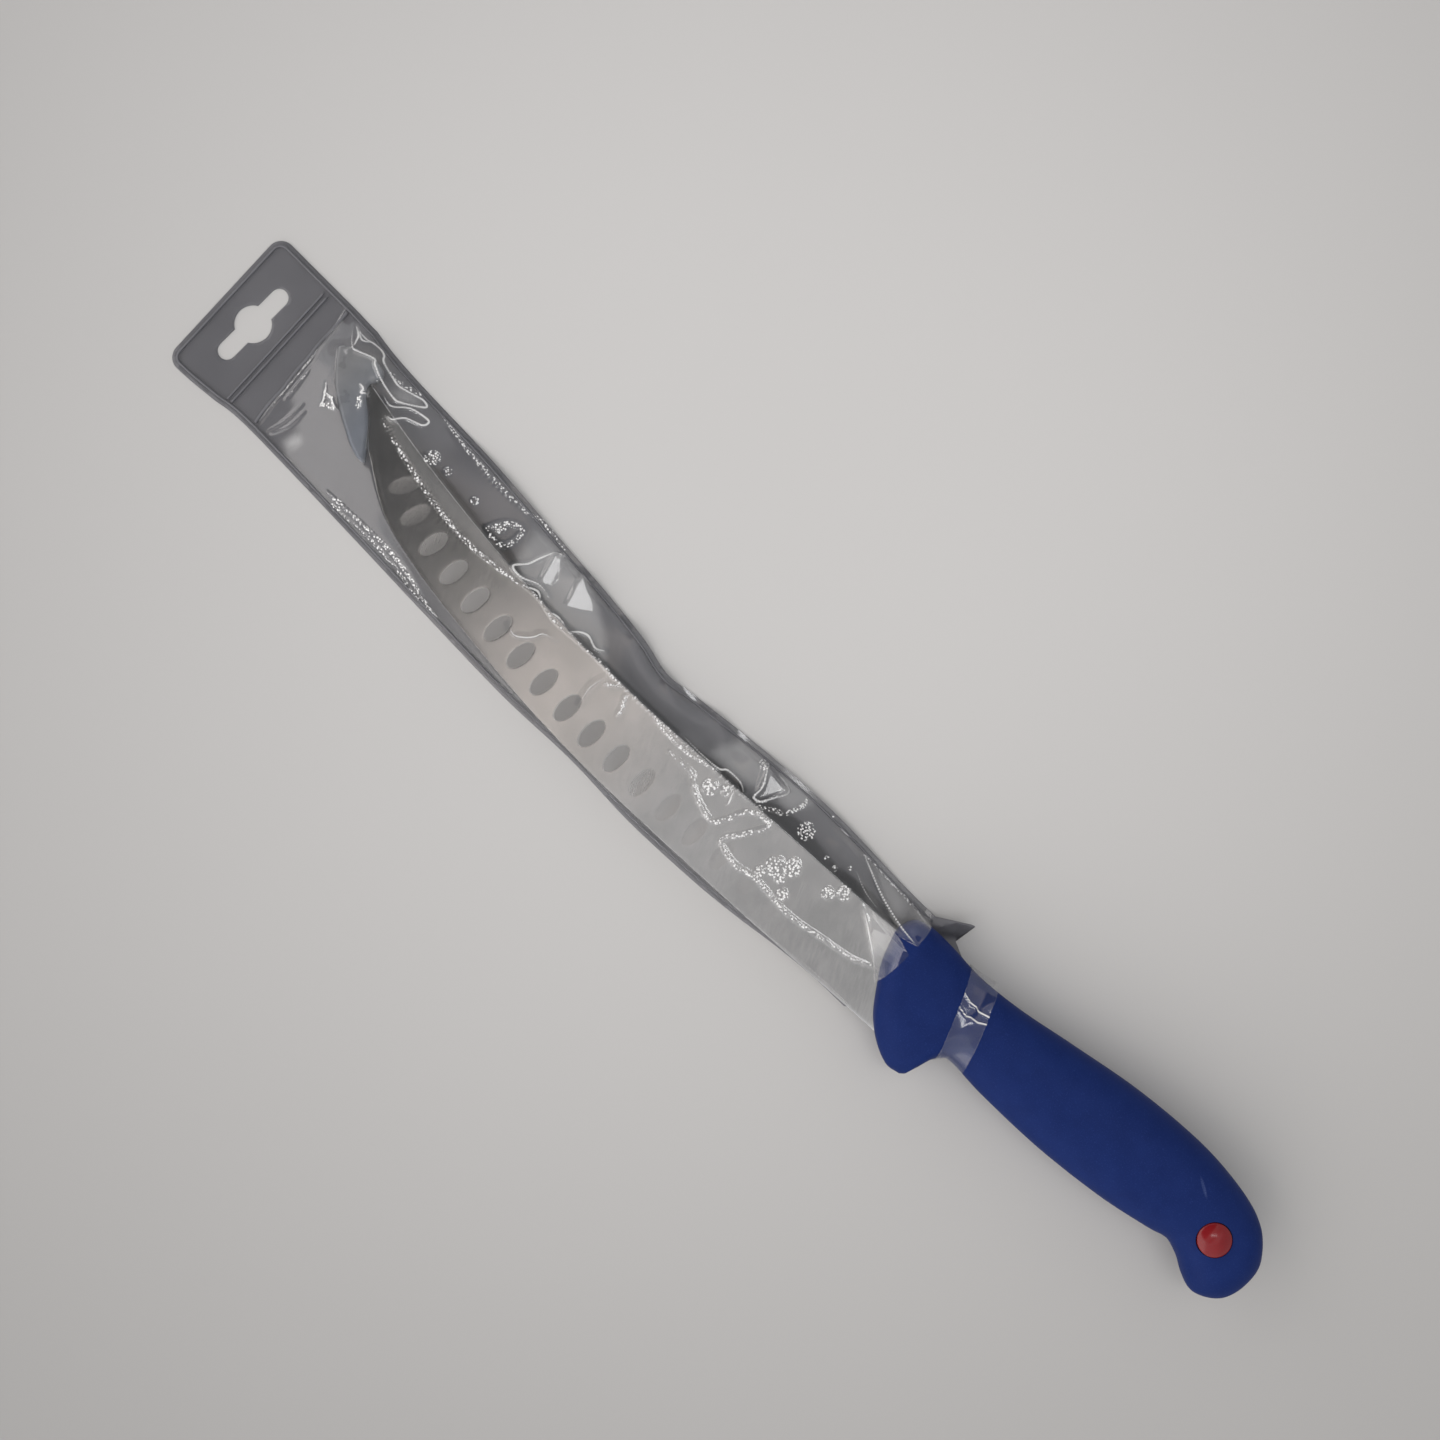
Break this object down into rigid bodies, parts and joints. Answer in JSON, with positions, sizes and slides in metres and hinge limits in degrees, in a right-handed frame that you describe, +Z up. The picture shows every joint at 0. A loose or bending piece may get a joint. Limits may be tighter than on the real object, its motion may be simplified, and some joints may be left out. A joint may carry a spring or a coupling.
{
  "type": "butcher knife in hanging sleeve",
  "caption": "Curved scalloped butcher knife with a moulded handle, button plug and tip guard, lying in its clear-fronted hanging sleeve.",
  "frame": {"origin": "middle of the part's box in plan, on the surface that the sleeve and the handle lie on", "axes": "+X from the hanging tab to the butt of the handle, +Y from the cutting edge to the spine, +Z up from the surface"},
  "size_m": [0.4642, 0.0586, 0.026],
  "materials": {
    "blade_steel": "satin, ground across its length",
    "handle_plastic": "moulded, fine matt grain",
    "plug_plastic": "glossy domed",
    "guard_plastic": "translucent bluish grey",
    "back_film": "grey soft film, welded rim",
    "clear_film": "clear creased film"
  },
  "bodies": {
    "knife": {"blade": "blade_steel", "handle": "handle_plastic", "end_plug": "plug_plastic"},
    "tip_guard": {"tip_guard": "guard_plastic"},
    "sleeve": {"sleeve_back": "back_film", "sleeve_front": "clear_film", "neck_strap": "clear_film"}
  },
  "joints": [
    {"name": "sleeve_pull", "type": "hinge", "parent": "knife", "child": "sleeve", "pos_m": [-0.0335, 0.86568, 0], "axis": [0, 0, -1], "range_deg": [0, 24], "deforming": ["neck_strap"]},
    {"name": "tip_guard_pull", "type": "hinge", "parent": "knife", "child": "tip_guard", "pos_m": [-0.05759, 0.60664, 0.00722], "axis": [0.024, 0, -0.9997], "range_deg": [0, 3.2]}
  ],
  "couplings": [
    {"joint": "tip_guard_pull", "follows": "sleeve_pull", "ratio": 0.13}
  ]
}
